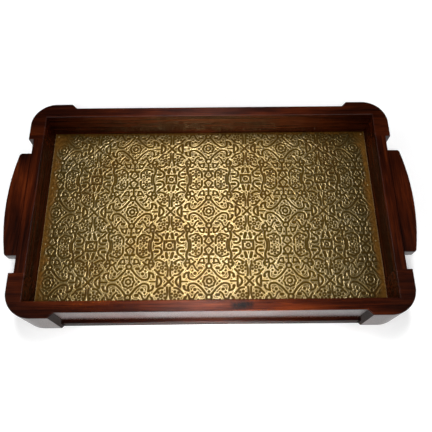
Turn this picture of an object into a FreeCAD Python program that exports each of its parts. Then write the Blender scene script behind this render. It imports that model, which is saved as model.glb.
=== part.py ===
import FreeCAD, Part
import os

import Sketcher
from FreeCAD import Placement, Rotation, Vector

# Serving tray: a wooden frame with rounded corner blocks and lug handles round a floor of sheet brass.
# X runs along the tray, Y from the front to the back and Z up. The origin is the middle of the base.
# Every length is in millimetres.

doc = FreeCAD.newDocument("serving_tray")

# ---------------------------------------------------------------- driving dimensions

SIZES = {
    "inner_length": 380,           # between the short rails
    "inner_width": 218,            # between the long rails
    "tray_height": 52,
    "wall_thickness": 12,          # rails
    "top_arris": 1.0,              # rounding of the rails' and blocks' top edges
    "corner_proud": 5.5,           # how far a corner block stands out from the rails
    "corner_radius": 28,
    "corner_arm_long": 34,         # inside length of a block's arm along a long rail
    "corner_arm_short": 29.5,      # the same along a short rail
    "corner_bevel": 5.5,           # length of the slope from a long arm's face down to the rail's
    "strip_thickness": 3.2,        # strips along the foot of the rails
    "strip_height": 14,
    "strip_arris": 1.2,
    "panel_rise": 8.5,             # from the base up to the panel's underside
    "panel_thickness": 6,
    "groove_depth": 4,
    "panel_gap": 0.5,              # room for the panel to move at the bottom of its groove
    "sheet_thickness": 0.5,
    "sheet_gap": 0.3,              # round the edge of the brass
    "handle_length": 122,
    "handle_thickness": 12,
    "handle_end_reach": 12.5,      # from the rail out to the handle's ends
    "handle_middle_reach": 19.5,   # and to its middle
    "handle_corner": 3.5,
    "handle_arris": 1.5,
    "dowel_diameter": 6,
    "dowel_clearance": 0.2,        # hole diameter less dowel diameter, for the glue
    "dowel_gap": 1,                # between a dowel's end and the bottom of its hole
    "rail_dowel_depth": 16,        # depth of the holes in the rails' and blocks' ends
    "rail_dowel_low": 24,          # heights of the two dowels in a joint
    "rail_dowel_high": 42,
    "handle_dowel_spacing": 40,
    "handle_dowel_rail_depth": 8,
    "handle_dowel_grip_depth": 10,
    "pin_diameter": 1.2,
    "pin_clearance": 0.2,
    "pin_length": 5,
    "pin_head_radius": 1.1,
    "pin_head_height": 0.6,
    "pin_margin": 4,               # from the rails to the line of pins
    "pin_spacing_long": 93,
    "pin_spacing_short": 70,
}

sheet = doc.addObject("Spreadsheet::Sheet", "Sizes")
for row, (alias, value) in enumerate(SIZES.items(), start=1):
    sheet.set("A%d" % row, alias)
    sheet.set("B%d" % row, str(value))
    sheet.setAlias("B%d" % row, alias)
doc.recompute()

# Heights and places that several pieces share, as expressions of the sheet's cells
SHEET_BOTTOM = "(Sizes.panel_rise + Sizes.panel_thickness)"
FLOOR = "(Sizes.panel_rise + Sizes.panel_thickness + Sizes.sheet_thickness)"
BLOCK_DEPTH = "(Sizes.wall_thickness + Sizes.corner_proud)"
LONG_RAIL_LENGTH = "(Sizes.inner_length - 2 * Sizes.corner_arm_long)"
SHORT_RAIL_LENGTH = "(Sizes.inner_width - 2 * Sizes.corner_arm_short)"
DOWEL_HOLE_RADIUS = "((Sizes.dowel_diameter + Sizes.dowel_clearance) / 2)"
RAIL_DOWEL_HEIGHTS = ["Sizes.rail_dowel_low", "Sizes.rail_dowel_high"]
HANDLE_DOWEL_HEIGHT = "(Sizes.tray_height - Sizes.handle_thickness / 2)"
HANDLE_DOWEL_PLACES = ["-Sizes.handle_dowel_spacing", "0", "Sizes.handle_dowel_spacing"]


def value(expression):
    """The number that an expression of the sheet's cells stands for."""
    result = sheet.evalExpression(expression)
    return float(getattr(result, "Value", result))


# ---------------------------------------------------------------- sketches and features

def new_body(label):
    body = doc.addObject("PartDesign::Body", label)
    body.Label = label
    return body


def origin_plane(body, role):
    return next(feature for feature in body.Origin.OriginFeatures if feature.Role == role)


def new_sketch(body, name, role, offset="0"):
    """A sketch on one of the body's origin planes, moved along the plane's normal."""
    sketch = body.newObject("Sketcher::SketchObject", name)
    sketch.AttachmentSupport = [(origin_plane(body, role), "")]
    sketch.MapMode = "FlatFace"
    sketch.setExpression("AttachmentOffset.Base.z", offset)
    doc.recompute()
    return sketch


def fix_point(sketch, geometry, vertex, across, up):
    """Bind a point's two coordinates to expressions."""
    for kind, expression in (("DistanceX", across), ("DistanceY", up)):
        index = sketch.addConstraint(Sketcher.Constraint(kind, -1, 1, geometry, vertex, value(expression)))
        sketch.setExpression("Constraints[%d]" % index, expression)


def add_polygon(sketch, corners):
    """Close straight edges through the corners, each an (across, up) pair of expressions."""
    points = [Vector(value(across), value(up), 0) for across, up in corners]
    count = len(points)
    edges = []
    for number in range(count):
        line = Part.LineSegment(points[number], points[(number + 1) % count])
        edges.append(sketch.addGeometry(line))
    for number in range(count):
        following = edges[(number + 1) % count]
        sketch.addConstraint(Sketcher.Constraint("Coincident", edges[number], 2, following, 1))
    for edge, (across, up) in zip(edges, corners):
        fix_point(sketch, edge, 1, across, up)


def add_circle(sketch, across, up, radius):
    centre = Vector(value(across), value(up), 0)
    circle = sketch.addGeometry(Part.Circle(centre, Vector(0, 0, 1), value(radius)))
    fix_point(sketch, circle, 3, across, up)
    index = sketch.addConstraint(Sketcher.Constraint("Radius", circle, value(radius)))
    sketch.setExpression("Constraints[%d]" % index, radius)


def pad(body, sketch, name, length, both_ways=False):
    feature = body.newObject("PartDesign::Pad", name)
    feature.Profile = sketch
    feature.Midplane = both_ways
    feature.setExpression("Length", length)
    doc.recompute()
    return feature


def pocket(body, sketch, name, depth, along_normal=False):
    """Cut a sketch into the body, against its normal unless along_normal, and see that it cuts."""
    before = body.Shape.Volume
    feature = body.newObject("PartDesign::Pocket", name)
    feature.Profile = sketch
    feature.Reversed = along_normal
    feature.setExpression("Length", depth)
    doc.recompute()
    if body.Shape.Volume >= before:
        raise RuntimeError("%s in %s cuts nothing" % (name, body.Label))
    return feature


def round_edges(body, name, radius, chosen):
    """Fillet the edges for which chosen(edge) is true."""
    base = body.Tip
    names = []
    for number, edge in enumerate(base.Shape.Edges, start=1):
        if chosen(edge):
            names.append("Edge%d" % number)
    feature = body.newObject("PartDesign::Fillet", name)
    feature.Base = (base, names)
    feature.setExpression("Radius", radius)
    doc.recompute()
    return feature


def middle(edge):
    return edge.valueAt((edge.FirstParameter + edge.LastParameter) / 2)


def is_upright(edge):
    ends = [vertex.Point for vertex in edge.Vertexes]
    return abs(ends[0].x - ends[1].x) < 1e-6 and abs(ends[0].y - ends[1].y) < 1e-6


def lies_at_height(edge, height):
    return all(abs(vertex.Z - height) < 1e-6 for vertex in edge.Vertexes)


def place(feature, turn, across="0", along="0"):
    """Turn a piece about Z by a number of degrees, then move it to a place given by expressions."""
    feature.Placement = Placement(Vector(0, 0, 0), Rotation(Vector(0, 0, 1), turn))
    feature.setExpression("Placement.Base.x", across)
    feature.setExpression("Placement.Base.y", along)


# Each side of the frame is drawn as the front one: its inner face is the XZ plane and its outer face
# is on the -Y side. A turn and a move then take it to its own side of the tray.
HALF_LENGTH = "Sizes.inner_length / 2"
HALF_WIDTH = "Sizes.inner_width / 2"
SIDES = {
    "front": (0, "0", "-" + HALF_WIDTH, LONG_RAIL_LENGTH),
    "right": (90, HALF_LENGTH, "0", SHORT_RAIL_LENGTH),
    "back": (180, "0", HALF_WIDTH, LONG_RAIL_LENGTH),
    "left": (270, "-" + HALF_LENGTH, "0", SHORT_RAIL_LENGTH),
}
HANDLE_SIDES = ("left", "right")

# ---------------------------------------------------------------- rails


def make_rail(side):
    """A board with a groove for the panel, and dowel holes in its ends and behind a handle."""
    turn, across, along, length = SIDES[side]
    body = new_body(side + "_rail")
    profile = new_sketch(body, side + "_rail_profile", "YZ_Plane")
    groove_top = "Sizes.panel_rise + Sizes.panel_thickness"
    add_polygon(profile, [
        ("-Sizes.wall_thickness", "0"),
        ("0", "0"),
        ("0", "Sizes.panel_rise"),
        ("-Sizes.groove_depth", "Sizes.panel_rise"),
        ("-Sizes.groove_depth", groove_top),
        ("0", groove_top),
        ("0", "Sizes.tray_height"),
        ("-Sizes.wall_thickness", "Sizes.tray_height"),
    ])
    pad(body, profile, side + "_rail_board", length, both_ways=True)

    height = value("Sizes.tray_height")
    half_length = value(length) / 2
    round_edges(
        body, side + "_rail_arris", "Sizes.top_arris",
        lambda edge: lies_at_height(edge, height) and abs(middle(edge).x) < half_length - 1)

    holes = new_sketch(body, side + "_rail_end_hole_sketch", "YZ_Plane", length + " / 2")
    for hole_height in RAIL_DOWEL_HEIGHTS:
        add_circle(holes, "-Sizes.wall_thickness / 2", hole_height, DOWEL_HOLE_RADIUS)
    end_holes = pocket(body, holes, side + "_rail_end_holes", "Sizes.rail_dowel_depth")
    mirror = body.newObject("PartDesign::Mirrored", side + "_rail_other_end_holes")
    mirror.Originals = [end_holes]
    mirror.MirrorPlane = (origin_plane(body, "YZ_Plane"), [""])
    body.Tip = mirror
    doc.recompute()

    if side in HANDLE_SIDES:
        grip = new_sketch(body, side + "_rail_handle_hole_sketch", "XZ_Plane", "Sizes.wall_thickness")
        for dowel_place in HANDLE_DOWEL_PLACES:
            add_circle(grip, dowel_place, HANDLE_DOWEL_HEIGHT, DOWEL_HOLE_RADIUS)
        pocket(body, grip, side + "_rail_handle_holes", "Sizes.handle_dowel_rail_depth")
    place(body, turn, across, along)
    return body


# ---------------------------------------------------------------- corner blocks

# A block is drawn as the front left one, with the tray's inside corner at the origin. A quarter turn
# swaps which of its arms lies along a long rail.
CORNERS = {
    "front_left": (0, "-" + HALF_LENGTH, "-" + HALF_WIDTH, "Sizes.corner_arm_long", "Sizes.corner_arm_short"),
    "front_right": (90, HALF_LENGTH, "-" + HALF_WIDTH, "Sizes.corner_arm_short", "Sizes.corner_arm_long"),
    "back_right": (180, HALF_LENGTH, HALF_WIDTH, "Sizes.corner_arm_long", "Sizes.corner_arm_short"),
    "back_left": (270, "-" + HALF_LENGTH, HALF_WIDTH, "Sizes.corner_arm_short", "Sizes.corner_arm_long"),
}


def block_outline(arm_x, arm_y):
    """A block's plan. The arm along a long rail slopes down to the rail's face, and the other ends square."""
    outside = "-" + BLOCK_DEPTH
    face = "-Sizes.wall_thickness"
    end_x = [(arm_x, outside)]
    end_y = [(outside, arm_y)]
    if arm_x == "Sizes.corner_arm_long":
        end_x = [(arm_x + " - Sizes.corner_bevel", outside), (arm_x, face)]
    else:
        end_y = [(face, arm_y), (outside, arm_y + " - Sizes.corner_bevel")]
    return [(outside, outside)] + end_x + [(arm_x, "0"), ("0", "0"), ("0", arm_y)] + end_y


def make_corner_block(corner):
    """An L-shaped block with a rounded outer corner, a panel groove inside and dowel holes in its ends."""
    turn, across, along, arm_x, arm_y = CORNERS[corner]
    label = "corner_block_" + corner
    body = new_body(label)
    plan = new_sketch(body, label + "_plan", "XY_Plane")
    add_polygon(plan, block_outline(arm_x, arm_y))
    pad(body, plan, label + "_post", "Sizes.tray_height")

    outer = value("-" + BLOCK_DEPTH)
    round_edges(
        body, label + "_rounding", "Sizes.corner_radius",
        lambda edge: is_upright(edge) and max(middle(edge).x, middle(edge).y) < outer + 1e-6)

    height = value("Sizes.tray_height")
    end_x = value(arm_x)
    end_y = value(arm_y)
    round_edges(
        body, label + "_arris", "Sizes.top_arris",
        lambda edge: lies_at_height(edge, height)
        and middle(edge).x < end_x - 1e-6 and middle(edge).y < end_y - 1e-6)

    groove = new_sketch(body, label + "_groove_sketch", "XY_Plane", "Sizes.panel_rise")
    add_polygon(groove, [
        ("-Sizes.groove_depth", "-Sizes.groove_depth"),
        (arm_x, "-Sizes.groove_depth"),
        (arm_x, arm_y),
        ("-Sizes.groove_depth", arm_y),
    ])
    pocket(body, groove, label + "_groove", "Sizes.panel_thickness", along_normal=True)

    for plane, offset, along_normal in (("YZ_Plane", arm_x, False), ("XZ_Plane", "-" + arm_y, True)):
        name = "%s_%s_holes" % (label, plane[:2].lower())
        holes = new_sketch(body, name + "_sketch", plane, offset)
        for hole_height in RAIL_DOWEL_HEIGHTS:
            add_circle(holes, "-Sizes.wall_thickness / 2", hole_height, DOWEL_HOLE_RADIUS)
        pocket(body, holes, name, "Sizes.rail_dowel_depth", along_normal)
    place(body, turn, across, along)
    return body


# ---------------------------------------------------------------- base strips


def make_base_strip(side):
    """A thin strip along the foot of a rail. Its ends fit the two corner blocks, so a long strip flares."""
    turn, across, along, length = SIDES[side]
    body = new_body(side + "_base_strip")
    plan = new_sketch(body, side + "_base_strip_plan", "XY_Plane")
    outside = "-(Sizes.wall_thickness + Sizes.strip_thickness)"
    inner_end = "(%s / 2)" % length
    outer_end = inner_end
    if length == LONG_RAIL_LENGTH:
        outer_end = "(%s + Sizes.strip_thickness * Sizes.corner_bevel / Sizes.corner_proud)" % inner_end
    add_polygon(plan, [
        ("-" + outer_end, outside),
        (outer_end, outside),
        (inner_end, "-Sizes.wall_thickness"),
        ("-" + inner_end, "-Sizes.wall_thickness"),
    ])
    pad(body, plan, side + "_base_strip_moulding", "Sizes.strip_height")
    outer = value(outside)
    height = value("Sizes.strip_height")
    round_edges(
        body, side + "_base_strip_arris", "Sizes.strip_arris",
        lambda edge: lies_at_height(edge, height) and all(v.Y < outer + 1e-6 for v in edge.Vertexes))
    place(body, turn, across, along)
    return body


# ---------------------------------------------------------------- handles


def make_handle(side):
    """A bowed lug: straight ends, a long arc outside and a flat back glued to the rail."""
    turn, across, along, _ = SIDES[side]
    body = new_body(side + "_handle")
    plan = new_sketch(
        body, side + "_handle_plan", "XY_Plane", "Sizes.tray_height - Sizes.handle_thickness")
    back = "-Sizes.wall_thickness"
    end = "-(Sizes.wall_thickness + Sizes.handle_end_reach)"
    front = "-(Sizes.wall_thickness + Sizes.handle_middle_reach)"
    half = "Sizes.handle_length / 2"
    half_length = value(half)
    corners = [("-" + half, end), ("-" + half, back), (half, back), (half, end)]
    points = [Vector(value(x), value(y), 0) for x, y in corners]
    lines = []
    for start, finish in zip(points[:-1], points[1:]):
        lines.append(plan.addGeometry(Part.LineSegment(start, finish)))
    bow = plan.addGeometry(Part.Arc(points[0], Vector(0, value(front), 0), points[3]))
    for number, line in enumerate(lines):
        fix_point(plan, line, 1, *corners[number])
    fix_point(plan, lines[-1], 2, *corners[-1])
    plan.addConstraint(Sketcher.Constraint("Coincident", lines[0], 2, lines[1], 1))
    plan.addConstraint(Sketcher.Constraint("Coincident", lines[1], 2, lines[2], 1))
    plan.addConstraint(Sketcher.Constraint("Coincident", bow, 1, lines[0], 1))
    plan.addConstraint(Sketcher.Constraint("Coincident", bow, 2, lines[2], 2))
    rise = "(Sizes.handle_middle_reach - Sizes.handle_end_reach)"
    radius = "(%s ^ 2 + %s ^ 2) / (2 * %s)" % ("(" + half + ")", rise, rise)
    index = plan.addConstraint(Sketcher.Constraint("Radius", bow, value(radius)))
    plan.setExpression("Constraints[%d]" % index, radius)
    pad(body, plan, side + "_handle_lug", "Sizes.handle_thickness")

    rail_face = value(back)
    round_edges(
        body, side + "_handle_corners", "Sizes.handle_corner",
        lambda edge: is_upright(edge) and middle(edge).y < rail_face - 1)
    round_edges(
        body, side + "_handle_arris", "Sizes.handle_arris",
        lambda edge: not is_upright(edge) and middle(edge).y < rail_face - 1e-3
        and abs(edge.Vertexes[0].Z - edge.Vertexes[-1].Z) < 1e-6)

    holes = new_sketch(body, side + "_handle_hole_sketch", "XZ_Plane", "Sizes.wall_thickness")
    for dowel_place in HANDLE_DOWEL_PLACES:
        add_circle(holes, dowel_place, HANDLE_DOWEL_HEIGHT, DOWEL_HOLE_RADIUS)
    pocket(body, holes, side + "_handle_holes", "Sizes.handle_dowel_grip_depth", along_normal=True)
    place(body, turn, across, along)
    return body


# ---------------------------------------------------------------- floor

PIN_X = "(Sizes.inner_length / 2 - Sizes.pin_margin)"
PIN_Y = "(Sizes.inner_width / 2 - Sizes.pin_margin)"


def pin_places():
    """Where the pins go: five along each long edge and two between them on each short edge."""
    places = []
    for sign in ("", "-"):
        for step in (-1, 0, 1):
            places.append(("%d * Sizes.pin_spacing_long" % step, sign + PIN_Y))
        for end in ("", "-"):
            places.append((end + PIN_X, sign + PIN_Y))
            places.append((end + PIN_X, sign + "Sizes.pin_spacing_short / 2"))
    return places


def make_plate(label, half_x, half_y, bottom, thickness, hole_depth):
    """A flat rectangle with a hole for every pin."""
    body = new_body(label)
    plan = new_sketch(body, label + "_plan", "XY_Plane", bottom)
    add_polygon(plan, [
        ("-" + half_x, "-" + half_y),
        (half_x, "-" + half_y),
        (half_x, half_y),
        ("-" + half_x, half_y),
    ])
    pad(body, plan, label + "_plate", thickness)
    top = "%s + %s" % (bottom, thickness)
    holes = new_sketch(body, label + "_pin_hole_sketch", "XY_Plane", top)
    for across, along in pin_places():
        add_circle(holes, across, along, "(Sizes.pin_diameter + Sizes.pin_clearance) / 2")
    pocket(body, holes, label + "_pin_holes", hole_depth)
    return body


def make_base_panel():
    reach = "Sizes.groove_depth - Sizes.panel_gap"
    return make_plate(
        "base_panel",
        "(%s + %s)" % (HALF_LENGTH, reach),
        "(%s + %s)" % (HALF_WIDTH, reach),
        "Sizes.panel_rise",
        "Sizes.panel_thickness",
        "Sizes.pin_length")


def make_brass_sheet():
    return make_plate(
        "brass_sheet",
        "(%s - Sizes.sheet_gap)" % HALF_LENGTH,
        "(%s - Sizes.sheet_gap)" % HALF_WIDTH,
        SHEET_BOTTOM,
        "Sizes.sheet_thickness",
        "Sizes.sheet_thickness")


# ---------------------------------------------------------------- fasteners


def make_cylinder(name, radius, height, centre, axis):
    """A cylinder from a starting point given by expressions, along a fixed axis."""
    cylinder = doc.addObject("Part::Cylinder", name)
    cylinder.setExpression("Radius", radius)
    cylinder.setExpression("Height", height)
    cylinder.Placement = Placement(Vector(0, 0, 0), Rotation(Vector(0, 0, 1), axis))
    for direction, expression in zip("xyz", centre):
        cylinder.setExpression("Placement.Base." + direction, expression)
    return cylinder


def make_group(label, members):
    group = doc.addObject("Part::Compound", label)
    group.Label = label
    group.Links = members
    return group


def make_rail_dowels():
    """Two dowels in each of the eight joints between rails and corner blocks."""
    length = "2 * (Sizes.rail_dowel_depth - Sizes.dowel_gap)"
    half = "(Sizes.rail_dowel_depth - Sizes.dowel_gap)"
    joint_x = "(Sizes.inner_length / 2 - Sizes.corner_arm_long)"
    joint_y = "(Sizes.inner_width / 2 - Sizes.corner_arm_short)"
    middle_x = "(Sizes.inner_length / 2 + Sizes.wall_thickness / 2)"
    middle_y = "(Sizes.inner_width / 2 + Sizes.wall_thickness / 2)"
    dowels = []
    for sign_x in ("", "-"):
        for sign_y in ("", "-"):
            for dowel_height in RAIL_DOWEL_HEIGHTS:
                along_x = ("%s%s - %s" % (sign_x, joint_x, half), sign_y + middle_y, dowel_height)
                along_y = (sign_x + middle_x, "%s%s - %s" % (sign_y, joint_y, half), dowel_height)
                for centre, axis in ((along_x, Vector(1, 0, 0)), (along_y, Vector(0, 1, 0))):
                    name = "rail_dowel_%d" % (len(dowels) + 1)
                    dowels.append(make_cylinder(name, "Sizes.dowel_diameter / 2", length, centre, axis))
    return make_group("rail_dowels", dowels)


def make_handle_dowels():
    """Three dowels through the joint between each handle and its rail."""
    length = "(Sizes.handle_dowel_rail_depth + Sizes.handle_dowel_grip_depth - 2 * Sizes.dowel_gap)"
    inner_end = "(%s + Sizes.wall_thickness - Sizes.handle_dowel_rail_depth + Sizes.dowel_gap)" % HALF_LENGTH
    dowels = []
    for start, axis in ((inner_end, Vector(1, 0, 0)), ("-" + inner_end, Vector(-1, 0, 0))):
        for dowel_place in HANDLE_DOWEL_PLACES:
            name = "handle_dowel_%d" % (len(dowels) + 1)
            centre = (start, dowel_place, HANDLE_DOWEL_HEIGHT)
            dowels.append(make_cylinder(name, "Sizes.dowel_diameter / 2", length, centre, axis))
    return make_group("handle_dowels", dowels)


def make_sheet_pins():
    """Brass pins with domed heads on the sheet, driven through it into the panel."""
    head = "Sizes.pin_head_radius"
    rise = "Sizes.pin_head_height"
    ball = "((%s ^ 2 + %s ^ 2) / (2 * %s))" % (head, rise, rise)
    slack = "Sizes.pin_clearance"
    pins = []
    for number, (across, along) in enumerate(pin_places(), start=1):
        bottom = "%s - Sizes.pin_length + %s" % (FLOOR, slack)
        shank = make_cylinder(
            "pin_shank_%d" % number, "Sizes.pin_diameter / 2", "Sizes.pin_length - " + slack,
            (across, along, bottom), Vector(0, 0, 1))
        dome = doc.addObject("Part::Sphere", "pin_dome_%d" % number)
        dome.setExpression("Radius", ball)
        dome.setExpression("Angle1", "asin((%s - %s) / %s)" % (ball, rise, ball))
        for direction, expression in zip("xyz", (across, along, "%s - (%s - %s)" % (FLOOR, ball, rise))):
            dome.setExpression("Placement.Base." + direction, expression)
        pin = doc.addObject("Part::Fuse", "pin_%d" % number)
        pin.Base = shank
        pin.Tool = dome
        pins.append(pin)
    return make_group("sheet_pins", pins)


# ---------------------------------------------------------------- the tray

pieces = []
for side_name in SIDES:
    pieces.append(make_rail(side_name))
for corner_name in CORNERS:
    pieces.append(make_corner_block(corner_name))
for side_name in SIDES:
    pieces.append(make_base_strip(side_name))
for side_name in HANDLE_SIDES:
    pieces.append(make_handle(side_name))
pieces.append(make_base_panel())
pieces.append(make_brass_sheet())
pieces.append(make_sheet_pins())
pieces.append(make_rail_dowels())
pieces.append(make_handle_dowels())
doc.recompute()

for feature in doc.Objects:
    if "Invalid" in feature.State or "Error" in feature.State:
        raise RuntimeError("%s failed: %s" % (feature.Label, feature.State))
for piece in pieces:
    if piece.Shape.isNull() or not piece.Shape.isValid():
        raise RuntimeError("%s has no valid shape" % piece.Label)

os.makedirs("parts", exist_ok=True)
for piece in pieces:
    piece.Shape.exportStep(os.path.join("parts", piece.Label + ".step"))
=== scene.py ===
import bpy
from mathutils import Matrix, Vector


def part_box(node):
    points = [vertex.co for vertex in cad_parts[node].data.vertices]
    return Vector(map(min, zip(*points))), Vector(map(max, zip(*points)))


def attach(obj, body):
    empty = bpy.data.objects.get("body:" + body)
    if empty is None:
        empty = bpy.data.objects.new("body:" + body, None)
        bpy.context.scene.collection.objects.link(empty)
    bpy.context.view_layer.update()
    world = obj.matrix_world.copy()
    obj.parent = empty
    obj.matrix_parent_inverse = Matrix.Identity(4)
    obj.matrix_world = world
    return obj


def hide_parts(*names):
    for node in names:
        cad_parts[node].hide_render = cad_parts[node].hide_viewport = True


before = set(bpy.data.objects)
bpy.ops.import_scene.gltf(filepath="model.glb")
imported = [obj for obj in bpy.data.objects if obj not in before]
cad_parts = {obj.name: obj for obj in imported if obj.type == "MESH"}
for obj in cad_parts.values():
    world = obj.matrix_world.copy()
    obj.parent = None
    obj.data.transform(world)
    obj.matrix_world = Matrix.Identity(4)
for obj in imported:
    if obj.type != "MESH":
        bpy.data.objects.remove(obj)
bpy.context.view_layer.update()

import math

import bpy
import numpy as np
from mathutils import Matrix, Vector

MM = 0.001


# ------------------------------------------------------------------ node materials

class Nodes:
    """A material, and short ways to add and join its nodes."""

    def __init__(self, name):
        self.material = bpy.data.materials.new(name)
        self.material.use_nodes = True
        self.tree = self.material.node_tree
        self.shader = self.tree.nodes["Principled BSDF"]

    def put(self, socket, entry):
        """Join an input to another node's output, or set its own value."""
        if isinstance(entry, bpy.types.NodeSocket):
            self.tree.links.new(entry, socket)
        elif socket.type == "RGBA" and len(entry) == 3:
            socket.default_value = (*entry, 1)
        else:
            socket.default_value = entry

    def add(self, kind, **inputs):
        node = self.tree.nodes.new(kind)
        for name, entry in inputs.items():
            self.put(node.inputs[name.replace("_", " ")], entry)
        return node

    def surface(self, **inputs):
        for name, entry in inputs.items():
            self.put(self.shader.inputs[name.replace("_", " ")], entry)

    def place(self, scale=(1, 1, 1), shift=(0, 0, 0)):
        """Object coordinates in metres, stretched and shifted."""
        coordinates = self.add("ShaderNodeTexCoord")
        mapping = self.add("ShaderNodeMapping", Vector=coordinates.outputs["Object"])
        mapping.inputs["Scale"].default_value = scale
        mapping.inputs["Location"].default_value = shift
        return mapping.outputs["Vector"]

    def noise(self, place, scale, detail=4.0, roughness=0.55, distortion=0.0):
        return self.add(
            "ShaderNodeTexNoise", Vector=place, Scale=scale, Detail=detail,
            Roughness=roughness, Distortion=distortion).outputs["Fac"]

    def math(self, operation, first, second=0.0, third=0.0, clamp=False):
        node = self.add("ShaderNodeMath")
        node.operation = operation
        node.use_clamp = clamp
        for socket, entry in zip(node.inputs, (first, second, third)):
            self.put(socket, entry)
        return node.outputs[0]

    def ramp(self, factor, *stops):
        """A colour or grey that changes with factor; each stop is a place and a colour or level."""
        node = self.add("ShaderNodeValToRGB", Fac=factor)
        elements = node.color_ramp.elements
        while len(elements) < len(stops):
            elements.new(0.5)
        for element, (position, colour) in zip(elements, stops):
            element.position = position
            level = colour if isinstance(colour, tuple) else (colour,) * 3
            element.color = (*level, 1)
        return node.outputs["Color"]

    def mix(self, factor, first, second, blend="MIX"):
        """A mix of two colours. The sockets go by number, because the node repeats their names."""
        node = self.add("ShaderNodeMix")
        node.data_type = "RGBA"
        node.blend_type = blend
        self.put(node.inputs[0], factor)
        self.put(node.inputs[6], first)
        self.put(node.inputs[7], second)
        return node.outputs[2]

    def split(self, vector):
        """The x, y and z of a vector."""
        node = self.add("ShaderNodeSeparateXYZ", Vector=vector)
        return node.outputs["X"], node.outputs["Y"], node.outputs["Z"]

    def length(self, vector):
        node = self.add("ShaderNodeVectorMath", Vector=vector)
        node.operation = "LENGTH"
        return node.outputs["Value"]

    def bump(self, height, strength, distance, normal=None):
        node = self.add("ShaderNodeBump", Height=height, Strength=strength, Distance=distance)
        if normal is not None:
            self.put(node.inputs["Normal"], normal)
        return node.outputs["Normal"]

    def attribute(self, name):
        node = self.add("ShaderNodeAttribute")
        node.attribute_name = name
        return node.outputs["Fac"]


def set_material(piece, material):
    piece.data.materials.clear()
    piece.data.materials.append(material)


# ------------------------------------------------------------------ lacquered hardwood

# The grain is a noise drawn out along the fibres. A board along each axis starts elsewhere in it
GRAIN_STRETCH = 0.055
WOOD_SHIFTS = {"x": (0.31, 0.12, 0.27), "y": (0.13, 0.41, 0.72)}
# Features per metre
FIBRES = 420
BANDS = 75
PORES = 1400
STAIN_CLOUDS = 14
LACQUER_RIPPLES = 85
# How pale each board's stain is, and how much lacquer the strips have beside the rails. The front
# board's paler stain is painted light, for the front that is lit more than the rest
LONG_BOARD = 1.4
SHORT_BOARD = 1.25
LIT_FRONT_BOARD = 1.8
STRIP_WOOD = 0.7
STRIP_LACQUER = 0.22
# Painted shade: the wood is darkened towards the corners, and this darkening reaches this far, and
# further at the back than at the front
SHADE_REACH = 190 * MM
SHADE_LEAN = 0.32
OUTER_STAIN = (0.65, 0.71, 0.77)
# The bevels' end grain is darker, partly from the stain it takes and partly as painted shade
END_GRAIN_AND_SHADE = (0.12, 0.20, 0.30)
# The dark spot's place, as a share of the front rail's length, and how far it reaches each way
SPOT_ALONG = 0.6
SPOT_REACH = (15 * MM, 6 * MM, 5 * MM)
SPOT_TONE = (0.10, 0.22, 0.60)
SPOT_EDGE = 260
# The lacquer that is left, which is thinner where hands, cups and cloths have rubbed it
LACQUER_OUTSIDE = 0.95
LACQUER_RUBBED = 0.2
LACQUER_MIDDLE = 0.85
LACQUER_INSIDE = 0.2
# A point this near to a face counts as on it
SKIN = 0.4 * MM


def outside_masks(nodes):
    """Two masks: the tray's outer faces below the top, and among them the bevels that end the
    corner blocks' long arms."""
    rail_low, rail_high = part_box("front_rail")
    proud = rail_low.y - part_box("corner_block_front_left")[0].y
    x, y, z = nodes.split(nodes.place())
    from_middle = nodes.math("ABSOLUTE", x)
    beyond_long = nodes.math("GREATER_THAN", nodes.math("ABSOLUTE", y), -rail_low.y - SKIN)
    beyond_short = nodes.math("GREATER_THAN", from_middle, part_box("right_rail")[1].x - SKIN)
    beyond = nodes.math("MAXIMUM", beyond_long, beyond_short)
    above = nodes.math("GREATER_THAN", z, rail_high.z - SKIN)
    outer = nodes.math("SUBTRACT", beyond, above, clamp=True)
    bevel = nodes.math("COMPARE", from_middle, rail_high.x + proud / 2, proud / 2)
    return outer, nodes.math("MULTIPLY", bevel, outer)


def lacquer_weight(nodes, share, bevel):
    """How much lacquer is left: most outside and inside the middle of the long walls, less on the
    top and underneath, least in the corners and on the bevels' end grain."""
    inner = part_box("brass_sheet")[1]
    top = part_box("front_rail")[1].z
    x, y, z = nodes.split(nodes.place())
    across = nodes.math("DIVIDE", nodes.math("ABSOLUTE", x), inner.x + SKIN)
    along = nodes.math("DIVIDE", nodes.math("ABSOLUTE", y), inner.y + SKIN)
    inside = nodes.math("LESS_THAN", nodes.math("MAXIMUM", across, along), 1.0)
    above = nodes.math("GREATER_THAN", z, top - SKIN)
    below = nodes.math("LESS_THAN", z, SKIN)
    rubbed = nodes.math("MAXIMUM", above, below)
    weight = nodes.math(
        "MULTIPLY_ADD", rubbed, (LACQUER_RUBBED - LACQUER_OUTSIDE) * share, LACQUER_OUTSIDE * share)
    kept = nodes.ramp(across, (0.25, LACQUER_MIDDLE * share), (0.8, LACQUER_INSIDE * share))
    return nodes.mix(nodes.math("MAXIMUM", inside, bevel), weight, kept)


def dark_spot(nodes):
    """A dark bluish spot in the top of the front rail, right of its middle."""
    low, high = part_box("front_rail")
    centre = (low.x + SPOT_ALONG * (high.x - low.x), (low.y + high.y) / 2, high.z)
    scale = tuple(1 / reach for reach in SPOT_REACH)
    shift = tuple(-place * factor for place, factor in zip(centre, scale))
    ragged = nodes.noise(nodes.place(), SPOT_EDGE, 3)
    away = nodes.length(nodes.place(scale, shift))
    spread = nodes.math("MULTIPLY_ADD", away, 0.5, nodes.math("MULTIPLY", ragged, 0.5))
    return nodes.ramp(spread, (0.40, SPOT_TONE), (0.72, (1.0, 1.0, 1.0)))


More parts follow.
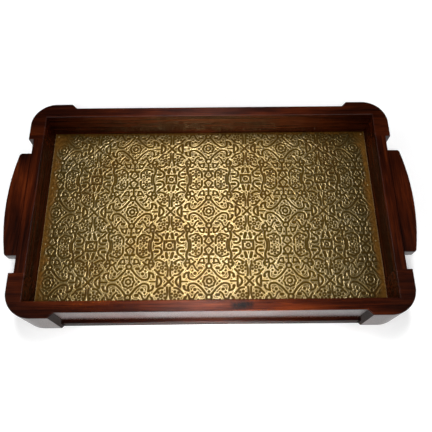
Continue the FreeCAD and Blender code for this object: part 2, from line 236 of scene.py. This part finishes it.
def painted_shade_and_stain(nodes, outer, bevel):
    """Painted shade that darkens the wood towards the tray's four corners, then the deeper stain of
    the outer faces, the end grain, darker partly from its stain and partly as painted shade, and a dark
    spot."""
    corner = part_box("corner_block_back_right")[1]
    x, y, _ = nodes.split(nodes.place())
    across = nodes.math("POWER", nodes.math("SUBTRACT", corner.x, nodes.math("ABSOLUTE", x)), 2.0)
    along = nodes.math("POWER", nodes.math("SUBTRACT", corner.y, nodes.math("ABSOLUTE", y)), 2.0)
    distance = nodes.math("SQRT", nodes.math("ADD", across, along))
    reach = nodes.math("MULTIPLY_ADD", y, SHADE_LEAN, SHADE_REACH)
    shade = nodes.ramp(
        nodes.math("DIVIDE", distance, reach), (0.1, 0.30), (0.45, 0.58), (1.0, 1.0))
    shade = nodes.mix(outer, shade, OUTER_STAIN, "MULTIPLY")
    # End grain: darker partly from its stain and partly as painted shade
    shade = nodes.mix(bevel, shade, END_GRAIN_AND_SHADE)
    return nodes.mix(1.0, shade, dark_spot(nodes), "MULTIPLY")


def lacquered_wood(axis, pale, share=1.0, use=""):
    """Dark red-brown stained hardwood under old gloss lacquer, its fibres along one axis. A board
    is darker where pale is lower, and share is how much lacquer was put on."""
    nodes = Nodes("lacquered_wood_" + axis + use)
    outer, bevel = outside_masks(nodes)
    stretch = tuple(GRAIN_STRETCH if letter == axis else 1.0 for letter in "xyz")
    along = nodes.place(stretch, WOOD_SHIFTS[axis])
    even = nodes.place((1, 1, 1), WOOD_SHIFTS[axis])
    fibres = nodes.noise(along, FIBRES, 6, 0.65, 0.4)
    bands = nodes.noise(along, BANDS, 3, 0.5, 1.5)
    pores = nodes.noise(along, PORES, 2)
    cloud = nodes.noise(even, STAIN_CLOUDS, 3)
    tone = nodes.math("MULTIPLY_ADD", fibres, 0.45, nodes.math("MULTIPLY", bands, 0.55))
    colour = nodes.ramp(
        tone,
        (0.34, (0.011, 0.0020, 0.0006)),
        (0.47, (0.036, 0.0058, 0.0013)),
        (0.58, (0.076, 0.0130, 0.0026)),
        (0.72, (0.150, 0.0330, 0.0065)))
    stain = nodes.ramp(
        cloud,
        (0.34, (0.66 * pale, 0.60 * pale, 0.60 * pale)),
        (0.66, (1.28 * pale, 1.20 * pale, 1.12 * pale)))
    colour = nodes.mix(1.0, colour, stain, "MULTIPLY")
    colour = nodes.mix(1.0, colour, painted_shade_and_stain(nodes, outer, bevel), "MULTIPLY")
    colour = nodes.mix(0.6, colour, nodes.ramp(pores, (0.32, 0.4), (0.44, 1.0)), "MULTIPLY")
    ripple = nodes.noise(even, LACQUER_RIPPLES, 2)
    grain = nodes.bump(fibres, 0.3, 0.15 * MM)
    nodes.surface(
        Base_Color=colour,
        Roughness=nodes.ramp(fibres, (0.3, 0.50), (0.7, 0.38)),
        Specular_IOR_Level=0.0,
        Coat_Weight=lacquer_weight(nodes, share, bevel),
        Coat_Roughness=0.26,
        Coat_IOR=1.5,
        Normal=nodes.bump(ripple, 0.12, 0.6 * MM, grain),
        Coat_Normal=nodes.bump(ripple, 0.15, 0.6 * MM))
    return nodes.material


def dress_wood():
    """The rails, corner blocks, strips and handles, each with its grain along the piece."""
    boards = {"x": lacquered_wood("x", LONG_BOARD), "y": lacquered_wood("y", SHORT_BOARD)}
    # The front rail and front corner blocks get a paler stain: painted light on the front
    lit_front_board = lacquered_wood("x", LIT_FRONT_BOARD, use="_lit_front")
    strips = {axis: lacquered_wood(axis, STRIP_WOOD, STRIP_LACQUER, "_strip") for axis in "xy"}
    for name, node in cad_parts.items():
        woods = strips if name.endswith("_base_strip") else boards
        if name == "front_rail" or name.startswith("corner_block_front"):
            set_material(node, lit_front_board)
        elif name.startswith("corner_block_back"):
            set_material(node, boards["x"])
        elif name.startswith(("front_", "back_")):
            set_material(node, woods["x"])
        elif name.startswith(("left_", "right_")):
            set_material(node, woods["y"])


# ------------------------------------------------------------------ hidden and small parts

# Features per metre
VENEER_FIGURE = 55
VENEER_FIBRES = 900
DOWEL_FLECKS = 900
PIN_SPOTS = 800


def birch_plywood():
    """The underside of the tray: rotary-cut veneer, sanded and left unfinished."""
    nodes = Nodes("birch_plywood")
    place = nodes.place((0.12, 1, 1), (0.2, 0.6, 0.1))
    figure = nodes.noise(place, VENEER_FIGURE, 4, 0.5, 2.2)
    fibres = nodes.noise(place, VENEER_FIBRES, 3)
    colour = nodes.ramp(
        figure, (0.30, (0.33, 0.19, 0.095)), (0.5, (0.44, 0.28, 0.145)), (0.7, (0.53, 0.36, 0.20)))
    colour = nodes.mix(0.5, colour, nodes.ramp(fibres, (0.3, 0.62), (0.55, 1.0)), "MULTIPLY")
    nodes.surface(
        Base_Color=colour,
        Roughness=nodes.ramp(fibres, (0.3, 0.78), (0.7, 0.62)),
        Normal=nodes.bump(fibres, 0.35, 0.12 * MM))
    return nodes.material


def beech_dowel():
    """Pale turned dowel."""
    nodes = Nodes("beech_dowel")
    flecks = nodes.noise(nodes.place(), DOWEL_FLECKS, 3)
    nodes.surface(
        Base_Color=nodes.ramp(flecks, (0.35, (0.40, 0.24, 0.13)), (0.65, (0.56, 0.37, 0.21))),
        Roughness=nodes.ramp(flecks, (0.3, 0.7), (0.7, 0.55)),
        Normal=nodes.bump(flecks, 0.3, 0.1 * MM))
    return nodes.material


def pin_brass():
    """Small nail heads, browned in the same way as the sheet they hold."""
    nodes = Nodes("browned_pin_brass")
    spots = nodes.noise(nodes.place(), PIN_SPOTS, 3)
    nodes.surface(
        Base_Color=nodes.ramp(spots, (0.35, (0.20, 0.13, 0.05)), (0.65, (0.52, 0.39, 0.17))),
        Metallic=1.0,
        Roughness=nodes.ramp(spots, (0.3, 0.5), (0.7, 0.32)),
        Normal=nodes.bump(spots, 0.3, 0.08 * MM))
    return nodes.material


# ------------------------------------------------------------------ embossed brass sheet

# The ornament repeats on a lattice and mirrors about both axes of its cell, so it is drawn in a
# quarter cell, in mm from the middle of a rosette. A stroke is a groove's half width and the points
# of a smooth line. A bead is a stroke whose line is one point.
CELL_LENGTH = 88.3
CELL_WIDTH = 83.2
QUARTER_U = CELL_LENGTH / 2
QUARTER_V = CELL_WIDTH / 2
# How far the lattice is off the middle of the sheet
LATTICE_SHIFT = (-2.0, 3.0)
# Half widths of grooves
FINE = 0.44
LINE = 0.65
BOLD = 0.84

STEMS = [
    (LINE, [(2.5, 15), (6, 10.5), (9, 7), (12, 4.5), (15.5, 2.4), (19.5, 2.4), (22, 4), (22.6, 7),
            (22, 10.5)]),
    (LINE, [(22, 10.5), (25, 9.7), (27, 8), (27.3, 5.5)]),
    (FINE, [(12.5, 12), (15, 14.5), (16, 17), (17.5, 19)]),
    (LINE, [(15.3, 22.5), (18, 20), (21, 19), (22, 16.5), (23.7, 14.3)]),
    (FINE, [(17.7, 24), (20, 26), (22, 24.5), (21.6, 21.5), (21, 19)]),
    (BOLD, [(24.5, 26), (25.3, 29), (25, 32), (24, 35), (22.8, 38), (22.6, 41.6)]),
    (LINE, [(27.5, 25.5), (29.5, 27.5), (31.5, 29.8), (34, 31), (35.5, 33.5), (35.5, 36), (34, 38.5),
            (31.5, 39.3), (28.5, 39)]),
    (LINE, [(0, 20), (0, 30)]),
    (FINE, [(23.5, 0), (29.5, 0)]),
]
LEAVES = [
    (FINE, [(5.5, 20), (5.5, 23), (5.8, 26), (7.5, 26), (9.5, 25), (11, 22), (12, 19.8)]),
    (FINE, [(4.5, 21), (7.5, 20.8), (10, 21.2)]),
    (LINE, [(8, 39.5), (7.8, 36), (8.2, 33), (9.5, 31), (12, 29), (13.8, 27.8)]),
    (FINE, [(15, 27.8), (18, 29), (20, 29.3), (21.5, 30)]),
    (FINE, [(20.4, 41.6), (20.5, 38), (21.6, 34.6)]),
    (LINE, [(26.5, 22), (26.8, 18.5), (25, 17)]),
]
PALMETTE = [
    (LINE, [(0, 41), (4.5, 37.3), (3, 34), (2, 31.5), (0, 30)]),
    (FINE, [(0, 31), (5, 30.4)]),
]
MEDALLION = [
    (LINE, [(28.5, 13.5), (31, 11), (33, 8.5), (36, 7.3), (38, 7.2)]),
    (LINE, [(29, 24), (32, 25), (36, 23.5), (38.5, 21.5)]),
    (LINE, [(41, 21), (42.7, 15), (42.8, 10), (42.5, 6.5)]),
]
LENS = [
    (LINE, [(31.3, 0), (31.3, 6)]),
    (LINE, [(32, 6), (35.3, 3), (36.5, 0)]),
    (LINE, [(44.15, 0), (40, 4.5)]),
]
SQUARE = [
    (LINE, [(38.3, 41.6), (38.3, 36.6)]),
    (LINE, [(38.3, 36.2), (44.15, 36.2)]),
]
BEADS = [
    (1.2, [(27.3, 5.3)]),
    (1.3, [(15.4, 9)]),
    (1.2, [(8.5, 15), (10.5, 15)]),
    (1.1, [(27.7, 34.8), (31, 34.8)]),
    (1.4, [(26.7, 20.2)]),
    (1.4, [(36.7, 28.5)]),
    (1.2, [(40.6, 32.5), (41.8, 27.5)]),
    (0.9, [(41.2, 22.5)]),
    (1.2, [(4.8, 31)]),
    (1.3, [(12.5, 28.8)]),
    (1.1, [(21.5, 30.8)]),
    (1.0, [(40, 4.5)]),
    (1.0, [(0, 11.3)]),
    (0.8, [(11.5, 0)]),
    (0.7, [(17.3, 41.6)]),
    (0.7, [(31.5, 2.2)]),
    (0.8, [(18.3, 12.2)]),
    (0.8, [(12.2, 12.2)]),
    (0.7, [(2.6, 26)]),
]
STROKES = STEMS + LEAVES + PALMETTE + MEDALLION + LENS + SQUARE + BEADS
# A ring: its middle, radius and half width
RINGS = [((0, 0), 2.7, 0.55), ((0, 17.5), 2.9, 0.6), ((24, 23), 2.0, 0.5)]
# A floret: its middle, the ring round its eye, and its petals' distance, number and size
FLORETS = [
    ((36.2, 15.8), 1.6, 4.6, 7, 1.05),
    ((14.7, 35.0), 1.35, 3.9, 6, 0.85),
    ((QUARTER_U, QUARTER_V), 1.9, 4.9, 4, 0.6),
]
# The scalloped ring round every rosette
ROSETTE_RADIUS = 6.3
ROSETTE_SCALLOP = 0.45
ROSETTE_LOBES = 8
# The drawing is worked out once, on a table with this step. FAR is wider than any plateau
TABLE_STEP = 0.25
FAR = 9.0
CURVE_STEPS = 7


def smooth_line(points):
    """Catmull-Rom curve through the points."""
    points = np.array(points, float)
    if len(points) < 3:
        return points
    first = 2 * points[0] - points[1]
    last = 2 * points[-1] - points[-2]
    padded = np.vstack([first, points, last])
    t = np.linspace(0, 1, CURVE_STEPS, endpoint=False)[:, None]
    pieces = []
    for a, b, c, d in zip(padded, padded[1:], padded[2:], padded[3:]):
        square = 2 * a - 5 * b + 4 * c - d
        cube = 3 * b - a - 3 * c + d
        pieces.append(0.5 * (2 * b + (c - a) * t + square * t ** 2 + cube * t ** 3))
    return np.vstack(pieces + [points[-1:]])


def line_distance(u, v, line):
    """Distance from every (u, v) to a run of straight segments."""
    nearest = np.full(u.shape, np.inf)
    starts, ends = (line[:-1], line[1:]) if len(line) > 1 else (line, line)
    for (u0, v0), (u1, v1) in zip(starts, ends):
        du, dv = u1 - u0, v1 - v0
        length_squared = max(du * du + dv * dv, 1e-9)
        t = np.clip(((u - u0) * du + (v - v0) * dv) / length_squared, 0, 1)
        nearest = np.minimum(nearest, np.hypot(u - u0 - t * du, v - v0 - t * dv))
    return nearest


def groove_distance():
    """Signed distance to the nearest groove's edge over the quarter cell: below 0 inside a groove."""
    u, v = np.meshgrid(
        np.arange(0, QUARTER_U + TABLE_STEP, TABLE_STEP),
        np.arange(0, QUARTER_V + TABLE_STEP, TABLE_STEP), indexing="ij")
    distance = np.full(u.shape, FAR)
    for half_width, points in STROKES:
        distance = np.minimum(distance, line_distance(u, v, smooth_line(points)) - half_width)
    for (centre_u, centre_v), radius, half_width in RINGS:
        ring = np.abs(np.hypot(u - centre_u, v - centre_v) - radius)
        distance = np.minimum(distance, ring - half_width)
    for (centre_u, centre_v), eye, reach, petals, size in FLORETS:
        ring = np.abs(np.hypot(u - centre_u, v - centre_v) - eye)
        distance = np.minimum(distance, ring - FINE)
        for petal in range(petals):
            angle = 2 * math.pi * (petal + 0.5) / petals
            petal_u = centre_u + reach * math.cos(angle)
            petal_v = centre_v + reach * math.sin(angle)
            distance = np.minimum(distance, np.hypot(u - petal_u, v - petal_v) - size)
    scallop = ROSETTE_RADIUS + ROSETTE_SCALLOP * np.cos(ROSETTE_LOBES * np.arctan2(v, u))
    return np.minimum(distance, np.abs(np.hypot(u, v) - scallop) - LINE)


def sample(table, u, v):
    """Bilinear reading of a table that starts at (0, 0)."""
    i = u / TABLE_STEP
    j = v / TABLE_STEP
    i0 = np.clip(i.astype(int), 0, table.shape[0] - 2)
    j0 = np.clip(j.astype(int), 0, table.shape[1] - 2)
    fi = np.clip(i - i0, 0, 1)
    fj = np.clip(j - j0, 0, 1)
    near = table[i0, j0] * (1 - fj) + table[i0, j0 + 1] * fj
    far = table[i0 + 1, j0] * (1 - fj) + table[i0 + 1, j0 + 1] * fj
    return near * (1 - fi) + far * fi


# The random values' square lattice, and where in it the tray's middle lies
NOISE_LATTICE = 64
NOISE_START = 500


def smooth_noise(x, y, cell, seed):
    """Even bumps between -1 and 1, about one cell apart, in mm."""
    lattice = np.random.default_rng(seed).uniform(-1, 1, (NOISE_LATTICE, NOISE_LATTICE))
    i = x / cell + NOISE_START
    j = y / cell + NOISE_START
    i0 = np.floor(i).astype(int)
    j0 = np.floor(j).astype(int)
    fi = smoothstep(0, 1, i - i0)
    fj = smoothstep(0, 1, j - j0)

    def corner(right, back):
        return lattice[(i0 + right) % NOISE_LATTICE, (j0 + back) % NOISE_LATTICE]

    near = corner(0, 0) * (1 - fj) + corner(0, 1) * fj
    far = corner(1, 0) * (1 - fj) + corner(1, 1) * fj
    return near * (1 - fi) + far * fi


def smoothstep(low, high, value):
    """0 up to low, 1 from high, and a smooth rise between."""
    t = np.clip((value - low) / (high - low), 0, 1)
    return t * t * (3 - 2 * t)


# The relief, in mm: how high it stands, how far a groove's side rises, and the grid of its mesh
RELIEF_HEIGHT = 0.56
RISE = 1.6
GROOVE_FLOOR = 0.1
GRID_STEP = 0.62
# Its height varies from place to place, and the pattern drifts as a hand-cut one does
STRENGTH = 0.90
STRENGTH_SWING = 0.14
STRENGTH_CELL = 30
DRIFT = 0.22
DRIFT_CELL = 14
# A shallow chased line runs inside the edge of every broad plateau
CHASED_INSET = 2.15
CHASED_WIDTH = 0.6
CHASED_DEPTH = 0.9
# The pattern fades out in a plain margin and round the pins
MARGIN_PLAIN = 1.0
MARGIN_FULL = 3.5
MARGIN_RATIO = 2.2
PIN_CLEAR = 1.3
PIN_BLEND = 3.0
PIN_TOP = 0.02
# Wear: flattened corners and dull edges with a ragged border. A slightly raised rim runs along the
# sheet's edge, and its colour is kept polished and unworn as a painted highlight
CORNER_FLAT = 4.0
CORNER_WEAR_REACH = 26.0
FLATTENING = 0.6
EDGE_WEAR = (2.0, 10.0)
EDGE_WEAR_MOST = 0.95
PATCH_CELL = 9
PATCH_REACH = 4.0
WORN_DOWN = 0.4
RIM_WIDTH = 0.9
RIM_HEIGHT = 0.06
RIM_HIGHLIGHT_RAISED = 0.55
RIM_HIGHLIGHT_UNWORN = 0.6
# The sheet isn't flat: slow waves, and the marks of a hammer
OIL_CANNING = 0.12
OIL_CANNING_CELL = 42
HAMMER_DEPTH = 0.02
HAMMER_GRAIN = 1.7


def pin_places():
    """The tops of the pins' domed heads, in mm."""
    corners = np.array([vertex.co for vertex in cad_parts["sheet_pins"].data.vertices]) / MM
    tops = corners[corners[:, 2] > corners[:, 2].max() - PIN_TOP]
    return np.unique(tops[:, :2].round(1), axis=0)


def ornament(x, y):
    """Distance from the nearest groove's edge at points in mm, over the whole lattice."""
    drift_x = DRIFT * smooth_noise(x, y, DRIFT_CELL, seed=1)
    drift_y = DRIFT * smooth_noise(x, y, DRIFT_CELL, seed=2)
    u = np.abs((x + drift_x - LATTICE_SHIFT[0] + QUARTER_U) % CELL_LENGTH - QUARTER_U)
    v = np.abs((y + drift_y - LATTICE_SHIFT[1] + QUARTER_V) % CELL_WIDTH - QUARTER_V)
    return sample(groove_distance(), u, v)


def relief(x, y, half_length, half_width):
    """At points in mm: height over the sheet's face, how raised the pattern is, and its wear. The
    last two run from 0 to 1."""
    distance = ornament(x, y)
    t = np.clip((distance - GROOVE_FLOOR) / RISE, 0, 1)
    chased = CHASED_DEPTH * np.exp(-((distance - CHASED_INSET) / CHASED_WIDTH) ** 2)
    pillow = t * (2 - t) * (1 - chased)
    from_end = half_length - np.abs(x)
    from_side = half_width - np.abs(y)
    edge = np.minimum(from_end, MARGIN_RATIO * from_side)
    fade = smoothstep(MARGIN_PLAIN, MARGIN_FULL, edge)
    for pin_x, pin_y in pin_places():
        fade = fade * smoothstep(PIN_CLEAR, PIN_BLEND, np.hypot(x - pin_x, y - pin_y))
    patches = PATCH_REACH * smooth_noise(x, y, PATCH_CELL, seed=3)
    flattened = 1 - smoothstep(CORNER_FLAT, CORNER_WEAR_REACH, np.hypot(from_end, from_side) + patches)
    pillow = pillow * (1 - FLATTENING * flattened)
    wear = np.maximum(flattened, EDGE_WEAR_MOST * (1 - smoothstep(*EDGE_WEAR, edge + patches)))
    strength = STRENGTH + STRENGTH_SWING * smooth_noise(x, y, STRENGTH_CELL, seed=4)
    height = RELIEF_HEIGHT * pillow * fade * (1 - WORN_DOWN * wear) * strength
    warp = OIL_CANNING * (0.5 + 0.5 * smooth_noise(x, y, OIL_CANNING_CELL, seed=5)) * fade
    warp = warp + HAMMER_DEPTH * (1 + smooth_noise(x, y, HAMMER_GRAIN, seed=6)) * fade
    # The rim: a slight raise in the geometry, and in its colour a painted highlight along the sheet's
    # edge
    rim = np.exp(-((np.minimum(from_end, from_side) / RIM_WIDTH) ** 2))
    raised = np.maximum(pillow * fade, RIM_HIGHLIGHT_RAISED * rim)
    return height + warp + RIM_HEIGHT * rim, raised, wear * (1 - RIM_HIGHLIGHT_UNWORN * rim)


def mesh_object(name, vertices, face_lists):
    """A mesh from its vertices and lists of faces, each list's faces with the same number of corners."""
    mesh = bpy.data.meshes.new(name)
    arrays = [np.asarray(faces, np.int32) for faces in face_lists]
    loops = np.concatenate([faces.ravel() for faces in arrays])
    sizes = np.concatenate([np.full(len(faces), faces.shape[1], np.int32) for faces in arrays])
    starts = np.concatenate([[0], np.cumsum(sizes)[:-1]]).astype(np.int32)
    mesh.vertices.add(len(vertices))
    mesh.vertices.foreach_set("co", np.asarray(vertices, np.float32).ravel())
    mesh.loops.add(len(loops))
    mesh.loops.foreach_set("vertex_index", loops)
    mesh.polygons.add(len(sizes))
    mesh.polygons.foreach_set("loop_start", starts)
    mesh.update(calc_edges=True)
    mesh.validate()
    piece = bpy.data.objects.new(name, mesh)
    bpy.context.scene.collection.objects.link(piece)
    return piece


def float_attribute(piece, name, values):
    """One number stored on every vertex, which the material reads."""
    layer = piece.data.attributes.new(name, "FLOAT", "POINT")
    layer.data.foreach_set("value", np.asarray(values, np.float32).ravel())


def embossed_sheet():
    """The brass sheet as one closed mesh, with the relief in the vertices of its face."""
    low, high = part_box("brass_sheet")
    half_length, half_width = high.x / MM, high.y / MM
    columns = round(2 * half_length / GRID_STEP) + 1
    rows = round(2 * half_width / GRID_STEP) + 1
    x, y = np.meshgrid(
        np.linspace(-half_length, half_length, columns),
        np.linspace(-half_width, half_width, rows), indexing="ij")
    height, raised, wear = relief(x, y, half_length, half_width)
    top = np.stack([x, y, high.z / MM + height], -1).reshape(-1, 3)
    base = np.stack([x, y, np.full_like(x, low.z / MM)], -1)
    under = np.vstack([base[:, 0], base[:, -1]])
    index = np.arange(columns * rows).reshape(columns, rows)
    front = len(top) + np.arange(columns)
    back = front + columns
    quads = [
        np.stack([index[:-1, :-1], index[1:, :-1], index[1:, 1:], index[:-1, 1:]], -1).reshape(-1, 4),
        np.stack([front[:-1], front[1:], index[1:, 0], index[:-1, 0]], -1),
        np.stack([back[1:], back[:-1], index[:-1, -1], index[1:, -1]], -1),
        np.stack([back[:-1], back[1:], front[1:], front[:-1]], -1),
    ]
    left = np.concatenate([index[0, :], [back[0], front[0]]])[::-1][None, :]
    right = np.concatenate([index[-1, :], [back[-1], front[-1]]])[None, :]
    piece = mesh_object("embossed_brass_sheet", np.vstack([top, under]) * MM, quads + [left, right])
    piece.data.polygons.foreach_set("use_smooth", [True] * len(piece.data.polygons))
    spare = np.zeros(len(under))
    float_attribute(piece, "raised", np.concatenate([raised.ravel(), spare]))
    float_attribute(piece, "wear", np.concatenate([wear.ravel(), spare]))
    return piece


# Features per metre
TARNISH_CLOUDS = 20
GRIME_SPOTS = 260
METAL_GRAIN = 1500
# Painted shade: the brass is darkened towards its ends, as if less light reached them; its brightness
# from left to right over this span
FALLOFF_SPAN = 380 * MM
FALLOFF_STOPS = ((0.0, 0.66), (0.28, 0.98), (0.66, 1.0), (1.0, 0.50))
# How much of the wear shows as brown, and how metallic worn brass is
WORN_BROWN = 0.9
WORN_METAL = (0.4, 0.4, 0.4)


def aged_brass():
    """Embossed brass: rubbed bright on the raised lines, brown and olive in the hollows."""
    nodes = Nodes("aged_embossed_brass")
    place = nodes.place()
    cloud = nodes.noise(place, TARNISH_CLOUDS, 4, 0.6, 0.6)
    grime = nodes.noise(place, GRIME_SPOTS, 5, 0.65)
    grain = nodes.noise(place, METAL_GRAIN, 3)
    wear = nodes.attribute("wear")
    polish = nodes.math("SUBTRACT", nodes.attribute("raised"), 0.25)
    polish = nodes.math("MULTIPLY_ADD", wear, -0.4, polish)
    rubbed = nodes.math("MULTIPLY_ADD", grime, 0.5, polish, clamp=True)
    metal = nodes.ramp(
        cloud,
        (0.34, (0.35, 0.238, 0.080)),
        (0.5, (0.41, 0.296, 0.116)),
        (0.66, (0.46, 0.346, 0.160)))
    tarnish = nodes.ramp(
        cloud,
        (0.36, (0.086, 0.041, 0.004)),
        (0.5, (0.098, 0.053, 0.006)),
        (0.64, (0.084, 0.051, 0.006)))
    colour = nodes.mix(nodes.ramp(rubbed, (0.18, 0.0), (0.80, 1.0)), tarnish, metal)
    # Painted shade towards the sheet's ends, most at the right
    across = nodes.math("DIVIDE", nodes.split(place)[0], FALLOFF_SPAN)
    painted_falloff = nodes.ramp(nodes.math("ADD", across, 0.5), *FALLOFF_STOPS)
    colour = nodes.mix(1.0, colour, painted_falloff, "MULTIPLY")
    brown = nodes.ramp(grime, (0.35, (0.095, 0.037, 0.004)), (0.65, (0.22, 0.098, 0.015)))
    worn = nodes.math("MULTIPLY", wear, WORN_BROWN)
    nodes.surface(
        Base_Color=nodes.mix(worn, colour, brown),
        Metallic=nodes.mix(worn, nodes.ramp(rubbed, (0.1, 0.45), (0.6, 0.95)), WORN_METAL),
        Roughness=nodes.ramp(rubbed, (0.1, 0.52), (0.9, 0.25)),
        Specular_IOR_Level=0.1,
        Coat_Weight=nodes.ramp(rubbed, (0.25, 0.06), (0.85, 0.55)),
        Coat_Roughness=0.12,
        Normal=nodes.bump(grain, 0.15, 0.05 * MM, nodes.bump(grime, 0.09, 0.12 * MM)))
    return nodes.material


# ------------------------------------------------------------------ stage, lights and camera

FLOOR_HALF = 6.0
FLOOR_DROP = 0.4 * MM
# Features per metre
PAPER_FIBRES = 300
PAPER_WASH = 1.2
ROOM_LIGHT = 0.8
NEAR_GLOW = 0.12
# From the first of these distances to the second, the paper's painted glow rises to the light of the
# room, taking over from the lamps
ROOM_REACH = (0.1, 1.6)
# The sine of the elevation where the pale walls end, and where the ceiling is fully dark
WALLS_END = 0.16
CEILING_START = 0.42
CEILING_LIGHT = (0.010, 0.010, 0.011)


def pale_floor():
    """A sheet of white paper as wide as the room, which glows as painted light, faintly near the tray
    and more further off, and fades into its walls.
    """
    nodes = Nodes("pale_paper")
    place = nodes.place()
    fibres = nodes.noise(place, PAPER_FIBRES, 4)
    wash = nodes.noise(place, PAPER_WASH, 2)
    tone = nodes.mix(
        0.5,
        nodes.ramp(fibres, (0.3, 0.88), (0.7, 0.93)),
        nodes.ramp(wash, (0.3, 0.89), (0.7, 0.93)))
    far = nodes.math("DIVIDE", nodes.length(place), FLOOR_HALF)
    near_end, far_end = (reach / FLOOR_HALF for reach in ROOM_REACH)
    nodes.surface(
        Base_Color=tone,
        Roughness=0.85,
        Emission_Color=(1, 1, 1),
        Emission_Strength=nodes.ramp(far, (near_end, NEAR_GLOW), (far_end, ROOM_LIGHT)),
        Normal=nodes.bump(fibres, 0.1, 0.1 * MM))
    corners = [
        (side_x * FLOOR_HALF, side_y * FLOOR_HALF, -FLOOR_DROP)
        for side_x, side_y in ((-1, -1), (1, -1), (1, 1), (-1, 1))]
    floor = mesh_object("floor", corners, [[[0, 1, 2, 3]]])
    set_material(floor, nodes.material)


def soft_box(name, location, target, size, power, spread=math.pi):
    light = bpy.data.lights.new(name, "AREA")
    light.shape = "RECTANGLE"
    light.size, light.size_y = size
    light.energy = power
    light.spread = spread
    lamp = bpy.data.objects.new(name, light)
    lamp.location = location
    lamp.rotation_euler = (Vector(target) - Vector(location)).to_track_quat("-Z", "Y").to_euler()
    lamp.visible_camera = False
    bpy.context.scene.collection.objects.link(lamp)


def room_air():
    """The light from all round: pale walls up to a little above eye level, and a dark ceiling."""
    world = bpy.data.worlds.new("studio_air")
    bpy.context.scene.world = world
    world.use_nodes = True
    tree = world.node_tree
    background = tree.nodes["Background"]
    direction = tree.nodes.new("ShaderNodeTexCoord")
    split = tree.nodes.new("ShaderNodeSeparateXYZ")
    ramp = tree.nodes.new("ShaderNodeValToRGB")
    tree.links.new(direction.outputs["Generated"], split.inputs[0])
    tree.links.new(split.outputs["Z"], ramp.inputs[0])
    tree.links.new(ramp.outputs["Color"], background.inputs["Color"])
    walls, ceiling = ramp.color_ramp.elements
    walls.position = WALLS_END
    walls.color = (ROOM_LIGHT, ROOM_LIGHT, ROOM_LIGHT, 1)
    ceiling.position = CEILING_START
    ceiling.color = (*CEILING_LIGHT, 1)
    background.inputs["Strength"].default_value = 1.0


# Each soft box: its name, its place and the point that it faces, its width and depth, all in
# metres, and its power in watts
LAMPS = [
    ("strip_light", (-0.04, 0.51, 1.30), (-0.04, 0.51, 0), (0.16, 0.70), 6.2),
    ("lamp_light", (-0.03, 0.25, 1.28), (-0.03, 0.25, 0), (0.16, 0.18), 1.6),
    ("near_light", (0.0, -0.27, 0.62), (0, -0.05, 0), (0.12, 0.08), 0.9),
    ("key_light", (-0.08, -0.52, 0.95), (0, -0.03, 0), (0.15, 0.12), 2.2),
    ("left_light", (-2.0, -0.1, 1.0), (-0.9, 0, 0), (1.2, 2.6), 14.5),
    ("right_light", (2.0, -0.1, 1.0), (0.9, 0, 0), (1.2, 2.6), 13.5),
    ("front_light", (0.0, -2.0, 0.6), (0, -0.5, 0), (3.0, 1.0), 20.0),
]
# One more, with a grid in front that narrows it to the middle of the front face
FOOT_LAMP = ("foot_light", (0.0, -0.66, 0.70), (0.0, -0.21, 0), (0.10, 0.10), 0.28)
FOOT_SPREAD = math.radians(22)


def studio():
    for lamp in LAMPS:
        soft_box(*lamp)
    soft_box(*FOOT_LAMP, FOOT_SPREAD)
    room_air()


CAMERA_PLACE = Vector((4.8, -228.7, 548.9)) * MM
CAMERA_YAW = math.radians(0.40)
CAMERA_PITCH = math.radians(67.08)
CAMERA_ROLL = math.radians(-0.20)
CAMERA_LENS = 41.99
SENSOR_WIDTH = 36


def camera():
    """The camera, set by its place, three turns and its lens."""
    data = bpy.data.cameras.new("camera")
    data.lens = CAMERA_LENS
    data.sensor_width = SENSOR_WIDTH
    forward = Vector((
        math.sin(CAMERA_YAW) * math.cos(CAMERA_PITCH),
        math.cos(CAMERA_YAW) * math.cos(CAMERA_PITCH),
        -math.sin(CAMERA_PITCH)))
    right = Vector((math.cos(CAMERA_YAW), -math.sin(CAMERA_YAW), 0))
    up = right.cross(forward)
    turned_right = math.cos(CAMERA_ROLL) * right + math.sin(CAMERA_ROLL) * up
    turned_up = math.cos(CAMERA_ROLL) * up - math.sin(CAMERA_ROLL) * right
    turn = Matrix((turned_right, turned_up, -forward)).transposed().to_4x4()
    eye = bpy.data.objects.new("camera", data)
    eye.matrix_world = Matrix.Translation(CAMERA_PLACE) @ turn
    bpy.context.scene.collection.objects.link(eye)
    bpy.context.scene.camera = eye


# ------------------------------------------------------------------ the scene

dress_wood()
set_material(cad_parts["base_panel"], birch_plywood())
for dowels in ("rail_dowels", "handle_dowels"):
    set_material(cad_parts[dowels], beech_dowel())
set_material(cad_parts["sheet_pins"], pin_brass())

sheet = embossed_sheet()
set_material(sheet, aged_brass())
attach(sheet, "root")
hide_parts("brass_sheet")

pale_floor()
studio()
camera()
bpy.context.scene.view_settings.view_transform = "Standard"
